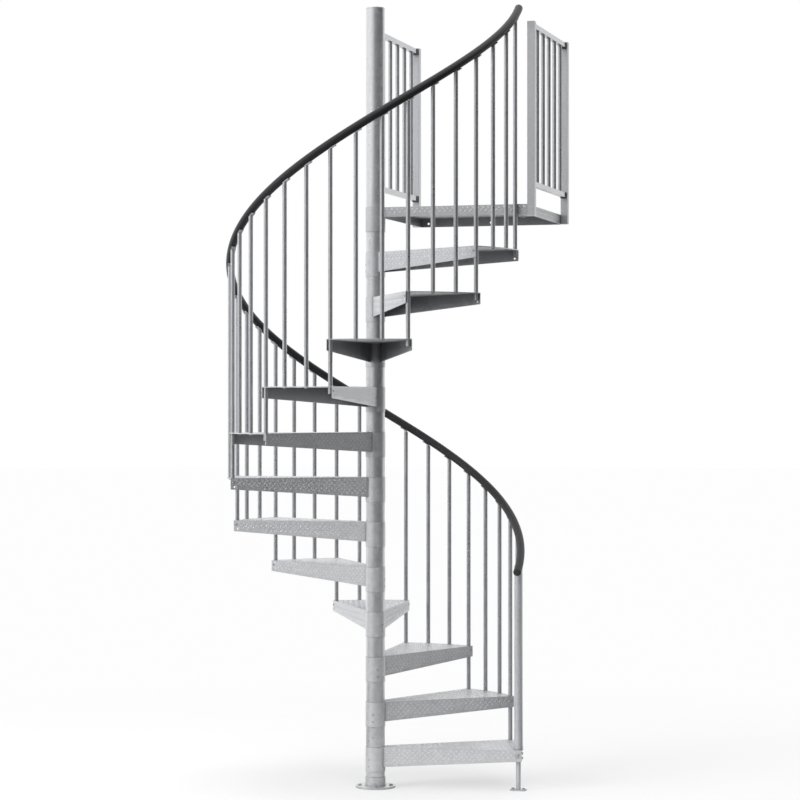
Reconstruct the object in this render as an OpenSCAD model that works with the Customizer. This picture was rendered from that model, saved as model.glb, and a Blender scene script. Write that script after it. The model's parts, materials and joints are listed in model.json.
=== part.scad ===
// Spiral staircase with a rectangular landing and two guard panels.
// The stair climbs counter-clockwise as seen from above. Millimetres, +Z up.
// Origin: centre of the base plate's underside, on the axis of the centre pole.
// The landing's front edge runs along +X from the pole, and its depth along +Y.

/* [Stair] */
// Radius of the outer end of the treads
tread_r = 762; // [600:1:900]
// Height from the floor to the top of the first tread
first_rise = 209; // [190:0.5:260]
// Height from one tread to the next
rise = 231.5; // [180:0.5:245]
// Angle that each tread turns from the one below
tread_angle = 29.3; // [22:0.1:32]

/* [Centre pole] */
// Outer diameter of the pole tube
pole_d = 88.9; // [60:0.1:140]
// Wall of the pole tube
pole_wall = 5.5; // [3:0.1:12]
// Pole height above the landing
pole_above = 1023; // [900:1:1300]
// Wall of the tread hubs
hub_wall = 6.05; // [4:0.05:15]
// Height of the tread hubs
hub_h = 127; // [80:1:150]
// Wall of the spacers and of the top sleeve
sleeve_wall = 3.25; // [2:0.05:10]
// Gap left all round between the pole and what slides over it
slide_gap = 0.3; // [0.1:0.05:1]
// Diameter of the base plate
base_d = 205; // [180:1:300]
// Thickness of the base plate
base_t = 10; // [6:1:20]
// Wall of the collar on the base plate
collar_wall = 7.25; // [3:0.05:14]
// Height of the collar's top above the floor
collar_top = 55; // [30:1:70]
// Bolt circle of the base plate
base_pcd = 162; // [140:1:260]
// Number of bolts in the base plate
base_bolts = 4; // [3:1:8]
// Diameter of the base plate's bolt holes
base_hole_d = 14; // [8:0.5:22]
// Direction of the first base bolt, measured from +X
base_bolt_angle = 16; // [0:1:89]

/* [Treads] */
// Thickness of the tread plate
plate_t = 4.8; // [3:0.1:8]
// Depth of a tread flange at the hub
flange_in = 102; // [70:1:125]
// Depth of a tread flange at its outer end
flange_out = 57; // [48:1:90]
// Distance from the pole's axis to a flange's outer face at the hub
flange_offset = 34; // [20:1:44]
// Diameter of the open hole in a rear flange
vent_d = 10; // [5:0.5:12]
// Distance from the tread's top to that hole
vent_drop = 44.5; // [40:0.5:50]
// Distance from the tread's outer end to that hole
vent_inset = 20; // [10:1:60]

/* [Balusters and newel] */
// Diameter of the balusters
baluster_d = 22; // [12:0.5:26]
// Distance from the tread's outer end to a baluster's centre
baluster_inset = 14; // [13:0.5:30]
// Gap between a baluster and its hole, or the flange beside it
baluster_gap = 0.5; // [0.2:0.1:3]
// Length of a long baluster below the tread it passes through last
baluster_tail = 36; // [20:1:38]
// Balusters to each tread
per_tread = 3; // [2:1:4]
// Diameter of the newel post
newel_d = 42; // [30:1:50]
// Distance from the tread's outer end to the newel's centre
newel_inset = 22; // [21:1:40]
// Angle of the newel past the first tread's front baluster place
newel_turn = 1.5; // [1:0.1:4]
// Diameter of the leg under the newel
leg_d = 24; // [16:1:40]
// Length of the newel's foot plate
foot_l = 78; // [70:1:120]
// Width of the newel's foot plate
foot_w = 46; // [40:1:80]
// Thickness of the newel's foot plate
foot_t = 6; // [4:0.5:12]
// Distance between the newel foot's bolts
foot_pitch = 56; // [50:1:100]
// Diameter of the newel foot's bolt holes
foot_hole_d = 9; // [5:0.5:12]

/* [Handrail] */
// Diameter of the handrail
rail_d = 42; // [30:1:60]
// Height of the handrail's centre above the line of the tread fronts
rail_h = 952; // [850:1:1100]
// Turn of the handrail before the newel
rail_before = 5.4; // [2:0.1:15]
// Turn of the handrail past the last baluster
rail_after = 6.5; // [2:0.1:12]
// Number of handrail sections
rail_sections = 4; // [2:1:6]
// Length of a bracket plate under the handrail
bracket_l = 40; // [30:1:60]
// Thickness of a bracket plate under the handrail
bracket_t = 4; // [2:0.5:6]
// Gap between the handrail and a bracket plate
bracket_gap = 0.2; // [0.1:0.1:1]
// Thickness of the handrail's end plugs
plug_t = 6; // [3:1:15]

/* [Landing] */
// Distance from the treads' outer end to the landing's right side
landing_past = 45; // [30:1:150]
// Depth of the landing between the outer faces of its end flanges
landing_depth = 800; // [600:1:1100]
// Distance from the pole's axis to the landing's front face
landing_front = 15; // [5:1:30]
// Depth of the landing's flanges
landing_flange = 50; // [48:1:110]
// Diameter of the fixing holes in the landing's far flange
fix_hole_d = 12; // [8:0.5:18]
// Distance from a side of the landing to the nearest fixing hole
fix_inset = 44; // [30:1:150]
// Number of fixing holes in the far flange
fix_count = 3; // [2:1:5]
// Distance from the landing's top to the fixing holes
fix_drop = 31; // [20:1:34]

/* [Guards] */
// Width of the square guard posts
post_w = 38; // [30:1:60]
// Height of the guard posts above the landing
post_h = 925; // [850:1:1100]
// Width of the guards' top and bottom rails
guard_rail_w = 25; // [20:1:30]
// Distance from the post's top down to the top rail
guard_top_drop = 8; // [4:1:40]
// Height of the bottom rail above the landing
guard_bottom = 91; // [50:1:120]
// Balusters in each guard
guard_count = 5; // [3:1:7]
// Distance between the guards' balusters
guard_pitch = 130; // [60:1:130]
// Length of the plate under the near post's foot
post_foot_l = 88; // [60:1:110]
// Thickness of the plate under the near post's foot
post_foot_t = 10; // [5:1:15]

/* [Hidden] */

tread_count = 12;
steel = [0.62, 0.63, 0.65];
zinc = [0.70, 0.71, 0.73];
black = [0.10, 0.10, 0.11];
e = 1;
$fn = 64;

// Heights
landing_z = first_rise + tread_count * rise;
pole_top = landing_z + pole_above;
cap_t = 6;
bore_r = pole_d / 2 + slide_gap;
hub_r = bore_r + hub_wall;
sleeve_d = 2 * (bore_r + sleeve_wall);
collar_d = 2 * (bore_r + collar_wall);

// Baluster places are counted from the newel, per_tread to each tread
baluster_r = tread_r - baluster_inset;
place_angle = tread_angle / per_tread;
last_place = tread_count * per_tread;
climb = rise / tread_angle;
rail_slope = atan(rise / (baluster_r * tread_angle * PI / 180));
hole_r = baluster_d / 2 + baluster_gap;
side_out = hole_r + plate_t;

// Tread outline: each flange runs from the hub to a corner at the outer end
corner_angle = tread_angle / 2 + asin(side_out / baluster_r);
corner = tread_r * [cos(corner_angle), sin(corner_angle)];
root = [sqrt(hub_r * hub_r - flange_offset * flange_offset), flange_offset];
side_l = norm(corner - root);
side_turn = atan2(corner[1] - root[1], corner[0] - root[0]);
weld_in = 3;

// The last baluster stands just in front of the landing, which fixes where the stair starts
start_angle = 360 - last_place * place_angle - asin((landing_front + hole_r) / baluster_r);

// Handrail
rail_start = start_angle - rail_before;
rail_end = place_turn(last_place) + rail_after;
rail_part = (rail_end - rail_start) / rail_sections;
rail_rings = ceil(rail_part / 5);
rail_sides = 16;

// Landing
front_y = -landing_front;
far_y = front_y + landing_depth;
left_x = post_w / 2;
right_x = tread_r + landing_past;
landing_w = right_x - left_x;
fix_pitch = (landing_w - 2 * fix_inset) / (fix_count - 1);
post_right_x = right_x + post_w / 2;
post_near_y = front_y + post_w / 2;
post_far_y = far_y - post_w / 2;
guard_top = post_h - guard_top_drop;

function place_turn(place) = start_angle + place * place_angle;
function front_line(turn) = first_rise + climb * (turn - start_angle);
function rail_z(turn) = front_line(turn) + rail_h;
function tread_z(i) = first_rise + (i - 1) * rise;

// --- Pole and what is stacked on it ---

module ring(outer_d, low, high) {
    translate([0, 0, low]) difference() {
        cylinder(d = outer_d, h = high - low);
        translate([0, 0, -e]) cylinder(r = bore_r, h = high - low + 2 * e);
    }
}

module base_flange() color(zinc) difference() {
    union() {
        cylinder(d = base_d, h = base_t);
        cylinder(d = collar_d, h = collar_top);
    }
    translate([0, 0, base_t]) cylinder(r = bore_r, h = collar_top);
    for (i = [0 : base_bolts - 1])
        rotate([0, 0, base_bolt_angle + i * 360 / base_bolts])
            translate([base_pcd / 2, 0, -e]) cylinder(d = base_hole_d, h = base_t + 2 * e);
}

module first_spacer() color(steel) ring(sleeve_d, collar_top, first_rise - hub_h);

module spacer_sleeves() color(steel)
    for (i = [1 : tread_count])
        ring(sleeve_d, tread_z(i), tread_z(i + 1) - hub_h);

module centre_pole() color(steel) difference() {
    translate([0, 0, base_t]) cylinder(d = pole_d, h = pole_top - base_t);
    translate([0, 0, base_t - e]) cylinder(d = pole_d - 2 * pole_wall, h = pole_top - base_t + 2 * e);
}

module pole_cap() color(steel) translate([0, 0, pole_top]) cylinder(d = sleeve_d, h = cap_t);

module top_sleeve() color(steel) ring(sleeve_d, landing_z, pole_top);

// --- Treads: folded plate with two tapering flanges, welded to a hub ---

module tread_flange() {
    translate([root[0], root[1], 0]) rotate([0, 0, side_turn]) rotate([90, 0, 0])
        linear_extrude(plate_t)
            polygon([[-weld_in, 0], [side_l, 0], [side_l, -flange_out], [-weld_in, -flange_in]]);
}

module tread_pan() {
    reach = 1.1;
    far = root + (corner - root) * reach;
    intersection() {
        union() {
            translate([0, 0, -plate_t]) linear_extrude(plate_t)
                polygon([[0, -root[1]], [root[0], -root[1]], [far[0], -far[1]],
                    far, root, [0, root[1]]]);
            tread_flange();
            mirror([0, 1, 0]) tread_flange();
        }
        translate([0, 0, -hub_h]) cylinder(r = tread_r, h = hub_h + e, $fn = 180);
    }
}

module vent_hole() {
    translate([corner[0], corner[1], -vent_drop]) rotate([0, 0, side_turn])
        translate([-vent_inset, e, 0]) rotate([90, 0, 0]) cylinder(d = vent_d, h = plate_t + 2 * e);
}

// Tread i: the next tread's first baluster passes its rear corner, and its own its front corner
module tread(i) color(zinc) translate([0, 0, tread_z(i)])
    rotate([0, 0, start_angle + (i - 0.5) * tread_angle]) difference() {
        union() {
            tread_pan();
            translate([0, 0, -hub_h]) cylinder(r = hub_r, h = hub_h);
        }
        translate([0, 0, -hub_h - e]) cylinder(r = bore_r, h = hub_h + 2 * e);
        for (side = i == 1 ? [1] : [-1, 1])
            rotate([0, 0, side * tread_angle / 2]) translate([baluster_r, 0, -plate_t - e])
                cylinder(r = hole_r, h = plate_t + 2 * e);
        vent_hole();
    }

// --- Balusters, newel and handrail ---

// Moves its children to the handrail's centre at an angle, tilted along the rail
module on_rail(turn) {
    rotate([0, 0, turn]) translate([baluster_r, 0, rail_z(turn)])
        rotate([rail_slope, 0, 0]) children();
}

// Upright bar at an angle and radius, cut off along the handrail's slope
module rail_bar(turn, radius, width, low, drop) {
    difference() {
        rotate([0, 0, turn]) translate([radius, 0, low])
            cylinder(d = width, h = rail_z(turn) - low);
        on_rail(turn) translate([-width, -2 * width, -drop]) cube([2 * width, 4 * width, 4 * width]);
    }
}

function baluster_low(place) =
    place % per_tread == 0
        ? tread_z(place / per_tread) - baluster_tail
        : tread_z(floor(place / per_tread) + 1);

module baluster(place)
    rail_bar(place_turn(place), baluster_r, baluster_d, baluster_low(place),
        rail_d / 2 + bracket_gap + bracket_t);

// Balusters of tread i. The first tread has the newel in place of its first one,
// and the last tread's group ends with the one beside the landing.
module balusters(i) color(zinc) {
    first = i == 1 ? 1 : 0;
    last = i == tread_count ? per_tread : per_tread - 1;
    for (n = [first : last]) baluster((i - 1) * per_tread + n);
}

newel_angle = start_angle + newel_turn;
newel_r = tread_r - newel_inset;

module newel_post() color(zinc)
    rail_bar(newel_angle, newel_r, newel_d, tread_z(1), rail_d / 2 + e);

module newel_foot() color(zinc)
    translate([newel_r * cos(newel_angle), newel_r * sin(newel_angle), 0]) difference() {
        union() {
            translate([-foot_l / 2, -foot_w / 2, 0]) cube([foot_l, foot_w, foot_t]);
            cylinder(d = leg_d, h = tread_z(1) - plate_t);
        }
        for (side = [-1, 1])
            translate([side * foot_pitch / 2, 0, -e]) cylinder(d = foot_hole_d, h = foot_t + 2 * e);
    }

// One ring of points round the handrail's centre line
function rail_ring(turn) = [
    for (s = [0 : rail_sides - 1])
        let (a = s * 360 / rail_sides,
            out = rail_d / 2 * cos(a),
            up = rail_d / 2 * sin(a),
            r = baluster_r + out,
            back = -up * sin(rail_slope))
        [r * cos(turn) - back * sin(turn), r * sin(turn) + back * cos(turn),
            rail_z(turn) + up * cos(rail_slope)]];

// Closed tube along the handrail's helix between two angles
module rail_tube(from, to, rings) {
    points = [for (n = [0 : rings]) each rail_ring(from + (to - from) * n / rings)];
    walls = [for (n = [0 : rings - 1], s = [0 : rail_sides - 1])
        let (a = n * rail_sides + s, b = n * rail_sides + (s + 1) % rail_sides)
        [a, a + rail_sides, b + rail_sides, b]];
    polyhedron(points, concat(walls,
        [[for (s = [0 : rail_sides - 1]) s]],
        [[for (s = [rail_sides - 1 : -1 : 0]) rings * rail_sides + s]]), convexity = 4);
}

module handrail(part) color(black)
    rail_tube(rail_start + (part - 1) * rail_part, rail_start + part * rail_part, rail_rings);

module handrail_plugs() color(black) {
    on_rail(rail_start) rotate([90, 0, 0]) cylinder(d = rail_d, h = plug_t);
    on_rail(rail_end) rotate([-90, 0, 0]) cylinder(d = rail_d, h = plug_t);
}

module rail_brackets() color(zinc)
    for (place = [1 : last_place])
        on_rail(place_turn(place))
            translate([-baluster_d / 2, -bracket_l / 2, -rail_d / 2 - bracket_gap - bracket_t])
                cube([baluster_d, bracket_l, bracket_t]);

// --- Landing and its guards ---

module at_landing() {
    translate([0, 0, landing_z]) children();
}

module landing_deck() color(zinc) at_landing() difference() {
    union() {
        difference() {
            translate([left_x, front_y, -landing_flange])
                cube([landing_w, landing_depth, landing_flange]);
            translate([left_x + plate_t, front_y + plate_t, -landing_flange - e])
                cube([landing_w - 2 * plate_t, landing_depth - 2 * plate_t, landing_flange + e - plate_t]);
        }
        translate([0, 0, -hub_h]) cylinder(r = hub_r, h = hub_h);
    }
    translate([0, 0, -hub_h - e]) cylinder(r = bore_r, h = hub_h + 2 * e);
    for (n = [0 : fix_count - 1])
        translate([left_x + fix_inset + n * fix_pitch, far_y + e, -fix_drop])
            rotate([90, 0, 0]) cylinder(d = fix_hole_d, h = plate_t + 2 * e);
}

// Guard post on the outer face of a side flange, down to the flange's lower edge.
// foot adds a plate under it that reaches below the deck towards -X.
module post(x, y, foot = false) color(zinc) at_landing() translate([x, y, 0]) {
    translate([-post_w / 2, -post_w / 2, -landing_flange])
        cube([post_w, post_w, landing_flange + post_h]);
    if (foot)
        translate([post_w / 2 - post_foot_l, -post_w / 2, -landing_flange - post_foot_t])
            cube([post_foot_l, post_w, post_foot_t]);
}

// Guard panel along Y, with its balusters spaced evenly about its middle
module guard_panel(x, low_y, high_y) {
    middle = (low_y + high_y) / 2;
    for (z = [guard_bottom, guard_top - guard_rail_w])
        translate([x - guard_rail_w / 2, low_y, z]) cube([guard_rail_w, high_y - low_y, guard_rail_w]);
    for (n = [0 : guard_count - 1])
        translate([x, middle + (n - (guard_count - 1) / 2) * guard_pitch,
            guard_bottom + guard_rail_w / 2])
            cylinder(d = baluster_d, h = guard_top - guard_bottom - guard_rail_w);
}

module guard_right() color(zinc) at_landing()
    guard_panel(post_right_x, post_near_y + post_w / 2, post_far_y - post_w / 2);

// The left guard butts against the top sleeve, and is hollowed to its round
module guard_left() color(zinc) at_landing() difference() {
    guard_panel(0, sleeve_d / 2 - weld_in, post_far_y - post_w / 2);
    translate([0, 0, -e]) cylinder(d = sleeve_d, h = post_h);
}

base_flange();
first_spacer();
spacer_sleeves();
centre_pole();
pole_cap();
top_sleeve();
tread(1);  // tread_01
tread(2);  // tread_02
tread(3);  // tread_03
tread(4);  // tread_04
tread(5);  // tread_05
tread(6);  // tread_06
tread(7);  // tread_07
tread(8);  // tread_08
tread(9);  // tread_09
tread(10);  // tread_10
tread(11);  // tread_11
tread(12);  // tread_12
balusters(1);  // balusters_01
balusters(2);  // balusters_02
balusters(3);  // balusters_03
balusters(4);  // balusters_04
balusters(5);  // balusters_05
balusters(6);  // balusters_06
balusters(7);  // balusters_07
balusters(8);  // balusters_08
balusters(9);  // balusters_09
balusters(10);  // balusters_10
balusters(11);  // balusters_11
balusters(12);  // balusters_12
newel_post();
newel_foot();
handrail(1);  // handrail_1
handrail(2);  // handrail_2
handrail(3);  // handrail_3
handrail(4);  // handrail_4
handrail_plugs();
rail_brackets();
landing_deck();
guard_right();
guard_left();
post(post_right_x, post_near_y, foot = true);  // post_near_right
post(post_right_x, post_far_y);  // post_far_right
post(0, post_far_y);  // post_far_left
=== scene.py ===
import json
import math
import bpy
import numpy as np
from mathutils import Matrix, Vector


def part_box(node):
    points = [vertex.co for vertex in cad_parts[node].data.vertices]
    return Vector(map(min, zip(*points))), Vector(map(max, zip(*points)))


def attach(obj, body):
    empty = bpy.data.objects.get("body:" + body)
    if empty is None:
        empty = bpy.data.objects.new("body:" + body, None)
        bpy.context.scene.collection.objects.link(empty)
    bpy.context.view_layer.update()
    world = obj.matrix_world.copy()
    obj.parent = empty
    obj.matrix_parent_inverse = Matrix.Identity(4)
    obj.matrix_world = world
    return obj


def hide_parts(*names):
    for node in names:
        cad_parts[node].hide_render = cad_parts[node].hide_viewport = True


# Spiral staircase: finishes, raised tread pattern, fixings, welds, handrail and studio, made round
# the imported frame. Lengths are metres and angles radians, in the frame of the part: +Z up the pole,
# the landing's front edge along +X.

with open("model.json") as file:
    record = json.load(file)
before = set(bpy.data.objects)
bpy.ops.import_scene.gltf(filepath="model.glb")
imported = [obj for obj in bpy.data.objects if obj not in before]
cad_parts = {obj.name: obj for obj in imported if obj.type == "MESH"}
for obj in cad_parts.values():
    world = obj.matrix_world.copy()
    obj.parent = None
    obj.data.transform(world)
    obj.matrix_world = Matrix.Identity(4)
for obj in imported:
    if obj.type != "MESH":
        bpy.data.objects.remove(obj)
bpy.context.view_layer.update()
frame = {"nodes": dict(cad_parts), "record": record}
NODES = frame["nodes"]
RECORD = frame["record"]


# --- Driving sizes, the same as the part's own ---

STEPS = 12
PER_TREAD = 3
PLACES = STEPS * PER_TREAD
TREAD_TURN = math.radians(29.3)
PLACE_ASIDE = TREAD_TURN / (2 * PER_TREAD)
TREAD_R = 0.762
PLATE = 0.0048
FLANGE_IN = 0.102
FLANGE_OUT = 0.057
FLANGE_OFFSET = 0.034
BALUSTER_R = 0.748
BALUSTER_RADIUS = 0.011
HOLE_GAP = 0.0005
VENT_DROP = 0.0445
VENT_INSET = 0.020
RAIL_H = 0.952
RAIL_RADIUS = 0.0205
RAIL_BEFORE = math.radians(5.4)
RAIL_AFTER = math.radians(6.5)
RAIL_SECTIONS = 4
BRACKET_DROP = 0.0252
LANDING_FLANGE = 0.050
SCREW_DROP = 0.022
DECK_PAST_GUARD = 0.0065


def low(node):
    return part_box(node)[0]


def high(node):
    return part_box(node)[1]


TREADS = [f"tread_{i:02d}" for i in range(1, STEPS + 1)]
TREAD_TOP = np.array([high(n).z for n in TREADS])
RISE = TREAD_TOP[1] - TREAD_TOP[0]
HUB_R = -low("landing_deck").x
SLEEVE_R = high("top_sleeve").x
DECK_TOP = high("landing_deck").z
DECK_LEFT = high("guard_left").x + DECK_PAST_GUARD
DECK_RIGHT = high("landing_deck").x
DECK_FRONT = low("post_near_right").y
DECK_BACK = high("landing_deck").y
HOLE_R = BALUSTER_RADIUS + HOLE_GAP
START = 2 * math.pi - STEPS * TREAD_TURN - math.asin((HOLE_R - DECK_FRONT) / BALUSTER_R)
CLIMB = RISE / TREAD_TURN
RAIL_SLOPE = math.atan(CLIMB / BALUSTER_R)
RAIL_START = START - RAIL_BEFORE
RAIL_END = START + STEPS * TREAD_TURN + RAIL_AFTER

# Outline of a tread about its middle line: each flange runs straight from the hub to a corner
CORNER_ANGLE = TREAD_TURN / 2 + math.asin((HOLE_R + PLATE) / BALUSTER_R)
CORNER = TREAD_R * np.array([math.cos(CORNER_ANGLE), math.sin(CORNER_ANGLE)])
ROOT = np.array([math.sqrt(HUB_R ** 2 - FLANGE_OFFSET ** 2), FLANGE_OFFSET])
SIDE_L = float(np.linalg.norm(CORNER - ROOT))
SIDE_TURN = math.atan2(CORNER[1] - ROOT[1], CORNER[0] - ROOT[0])
# How far along a flange the baluster beside it stands
PLACE_U = (BALUSTER_R * math.cos(TREAD_TURN / 2) - ROOT[0]) * math.cos(SIDE_TURN) \
    + (BALUSTER_R * math.sin(TREAD_TURN / 2) - ROOT[1]) * math.sin(SIDE_TURN)
# Where the landing's front edge meets its hub
DECK_ROOT_X = math.sqrt(HUB_R ** 2 - DECK_FRONT ** 2)


def tread_middle(i):
    """Direction of tread i's middle line, counted from 1."""
    return START + (i - 0.5) * TREAD_TURN


def place_turn(place):
    return START + place * TREAD_TURN / PER_TREAD


def rail_height(turn):
    """Height of the handrail's centre: it climbs in step with the tread fronts."""
    return TREAD_TOP[0] + CLIMB * (turn - START) + RAIL_H


# --- Surfaces as whole arrays ---

UP = np.array([0.0, 0.0, 1.0])


def turned(points, angle, lift=0.0):
    """Points turned about the pole's axis and lifted."""
    c, s = math.cos(angle), math.sin(angle)
    turn = np.array([[c, s, 0.0], [-s, c, 0.0], [0.0, 0.0, 1.0]])
    return np.asarray(points) @ turn + np.array([0.0, 0.0, lift])


class Shell:
    """Points and faces gathered from surfaces, kept as arrays until they become one mesh."""

    def __init__(self):
        self.points = []
        self.quads = []
        self.tris = []
        self.count = 0

    def add(self, points, quads, tris):
        self.points.append(points)
        self.quads.append(quads + self.count)
        self.tris.append(tris + self.count)
        self.count += len(points)

    def sheet(self, grid):
        self.add(*sheet_faces(grid))

    def repeat(self, shape, centres, frames):
        """Copies of one shape: each point is carried to centre + frame @ point, with a frame's
        columns as axes."""
        points, quads, tris = shape
        spread = centres[:, None, :] + np.einsum("nij,mj->nmi", frames, points)
        step = (np.arange(len(centres)) * len(points))[:, None, None]
        self.add(spread.reshape(-1, 3), (quads[None] + step).reshape(-1, 4),
                 (tris[None] + step).reshape(-1, 3))

    def turned_copy(self, angle, lift):
        copy = Shell()
        copy.points = [turned(p, angle, lift) for p in self.points]
        copy.quads, copy.tris, copy.count = list(self.quads), list(self.tris), self.count
        return copy

    def join(self, other):
        for points, quads, tris in zip(other.points, other.quads, other.tris):
            self.points.append(points)
            self.quads.append(quads + self.count)
            self.tris.append(tris + self.count)
        self.count += other.count


def sheet_faces(grid):
    """Points, quads and triangles of a (u, v) grid whose v direction wraps round: quads join
    neighbours, and each end row is fanned to a point at its middle."""
    rows, sides = grid.shape[:2]
    index = np.arange(rows * sides).reshape(rows, sides)
    a, b = index[:-1], np.roll(index, -1, axis=1)[:-1]
    c, d = np.roll(index, -1, axis=1)[1:], index[1:]
    quads = np.stack([a, b, c, d], axis=-1).reshape(-1, 4)
    points = np.vstack([grid.reshape(-1, 3), grid[0].mean(axis=0), grid[-1].mean(axis=0)])
    first, last, middle = index[0], index[-1], rows * sides
    low_fan = np.stack([np.roll(first, -1), first, np.full(sides, middle)], axis=-1)
    high_fan = np.stack([last, np.roll(last, -1), np.full(sides, middle + 1)], axis=-1)
    return points, quads, np.vstack([low_fan, high_fan])


def angles_round(sides):
    """Equal steps round a full circle."""
    return np.arange(sides) * 2 * math.pi / sides


def lathe(profile, sides):
    """A profile of (radius, height) pairs from the bottom up, carried round the Z axis."""
    r, z = np.array(profile, float).T
    a = angles_round(sides)
    height = np.repeat(z[:, None], sides, 1)
    return sheet_faces(np.stack([r[:, None] * np.cos(a), r[:, None] * np.sin(a), height], axis=-1))


def tube_grid(path, radii, sides, up):
    """Circles of the given radii set square to a path: the tangent comes from neighbouring points,
    and up is any direction that the path never takes."""
    tangent = np.gradient(path, axis=0)
    tangent /= np.linalg.norm(tangent, axis=1, keepdims=True)
    side = np.cross(tangent, up)
    side /= np.linalg.norm(side, axis=1, keepdims=True)
    rise = np.cross(side, tangent)
    a = angles_round(sides)
    ring = side[:, None] * np.cos(a)[:, None] + rise[:, None] * np.sin(a)[:, None]
    return path[:, None] + ring * np.asarray(radii)[:, None, None]


def frames_along(normals, forward):
    """Frames whose third axis is each normal and whose first axis is forward made square to it."""
    n = normals / np.linalg.norm(normals, axis=1, keepdims=True)
    x = forward - n * np.sum(forward * n, axis=1, keepdims=True)
    x /= np.linalg.norm(x, axis=1, keepdims=True)
    return np.stack([x, np.cross(n, x), n], axis=-1)


def build(name, shell, material, replaces=(), crease=35.0):
    """Puts a shell into a mesh object that rides on the stair, smooth except where faces meet at
    more than the crease, in degrees."""
    points = np.vstack(shell.points)
    quads, tris = np.vstack(shell.quads), np.vstack(shell.tris)
    corners = np.concatenate([quads.ravel(), tris.ravel()])
    totals = np.concatenate([np.full(len(quads), 4), np.full(len(tris), 3)])
    mesh = bpy.data.meshes.new(name)
    mesh.vertices.add(len(points))
    mesh.vertices.foreach_set("co", points.astype(np.float32).ravel())
    mesh.loops.add(len(corners))
    mesh.loops.foreach_set("vertex_index", corners.astype(np.int32))
    mesh.polygons.add(len(totals))
    starts = np.concatenate([[0], np.cumsum(totals)[:-1]])
    mesh.polygons.foreach_set("loop_start", starts.astype(np.int32))
    mesh.polygons.foreach_set("loop_total", totals.astype(np.int32))
    mesh.update(calc_edges=True)
    mesh.validate()
    mesh.shade_smooth()
    mesh.set_sharp_from_angle(angle=math.radians(crease))
    mesh.materials.append(material)
    piece = bpy.data.objects.new(name, mesh)
    bpy.context.scene.collection.objects.link(piece)
    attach(piece, "root")
    if replaces:
        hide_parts(*replaces)


# --- Shader nodes ---


class Nodes:
    """Short calls that add linked nodes to a tree."""

    def __init__(self, tree):
        self.tree = tree

    def add(self, kind, inputs=(), **settings):
        node = self.tree.nodes.new(kind)
        for key, value in settings.items():
            setattr(node, key, value)
        for key, value in dict(inputs).items():
            if hasattr(value, "is_output"):
                self.link(value, node.inputs[key])
            else:
                node.inputs[key].default_value = value
        return node

    def link(self, output, socket):
        self.tree.links.new(output, socket)

    def math(self, operation, a, b=0.0, clamp=False):
        node = self.add("ShaderNodeMath", {0: a, 1: b}, operation=operation, use_clamp=clamp)
        return node.outputs[0]

    def ramp(self, value, from_low, from_high, to_low=0.0, to_high=1.0):
        """Maps a range of a value smoothly on to another, held at its ends."""
        inputs = {"Value": value, "From Min": from_low, "From Max": from_high,
                  "To Min": to_low, "To Max": to_high}
        return self.add("ShaderNodeMapRange", inputs, interpolation_type="SMOOTHSTEP").outputs[0]

    def mix(self, amount, a, b, blend="MIX"):
        inputs = {0: amount, 6: a, 7: b}
        node = self.add("ShaderNodeMix", inputs, data_type="RGBA", blend_type=blend)
        return node.outputs[2]

    def noise(self, vector, scale, detail, roughness=0.55):
        inputs = {"Vector": vector, "Scale": scale, "Detail": detail, "Roughness": roughness}
        return self.add("ShaderNodeTexNoise", inputs).outputs[0]

    def stretch(self, vector, scale):
        return self.add("ShaderNodeMapping", {"Vector": vector, "Scale": scale}).outputs[0]

    def place(self):
        """Where a point lies on its object, so that a pattern stays put on the piece."""
        return self.add("ShaderNodeTexCoord").outputs["Object"]

    def lean(self, way, axis):
        """Dot product of a direction or point with a fixed axis."""
        node = self.add("ShaderNodeVectorMath", {0: way, 1: axis}, operation="DOT_PRODUCT")
        return node.outputs["Value"]

    def grey(self, tone):
        inputs = {"Red": tone, "Green": tone, "Blue": tone}
        return self.add("ShaderNodeCombineColor", inputs).outputs[0]

    def surface(self, shader, kind="ShaderNodeOutputMaterial"):
        self.link(shader.outputs[0], self.add(kind).inputs["Surface"])


SOCKETS = {"value": "NodeSocketFloat", "color": "NodeSocketColor", "vector": "NodeSocketVector"}


def effect(name, inputs, outputs):
    """Starts a shader node group with named sockets: inputs give (name, kind, value), and outputs
    (name, kind)."""
    tree = bpy.data.node_groups.new(name, "ShaderNodeTree")
    for label, kind, value in inputs:
        socket = tree.interface.new_socket(name=label, in_out="INPUT", socket_type=SOCKETS[kind])
        socket.default_value = value
    for label, kind in outputs:
        tree.interface.new_socket(name=label, in_out="OUTPUT", socket_type=SOCKETS[kind])
    nodes = Nodes(tree)
    given, out = nodes.add("NodeGroupInput"), nodes.add("NodeGroupOutput")
    return nodes, given.outputs, out.inputs


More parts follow.
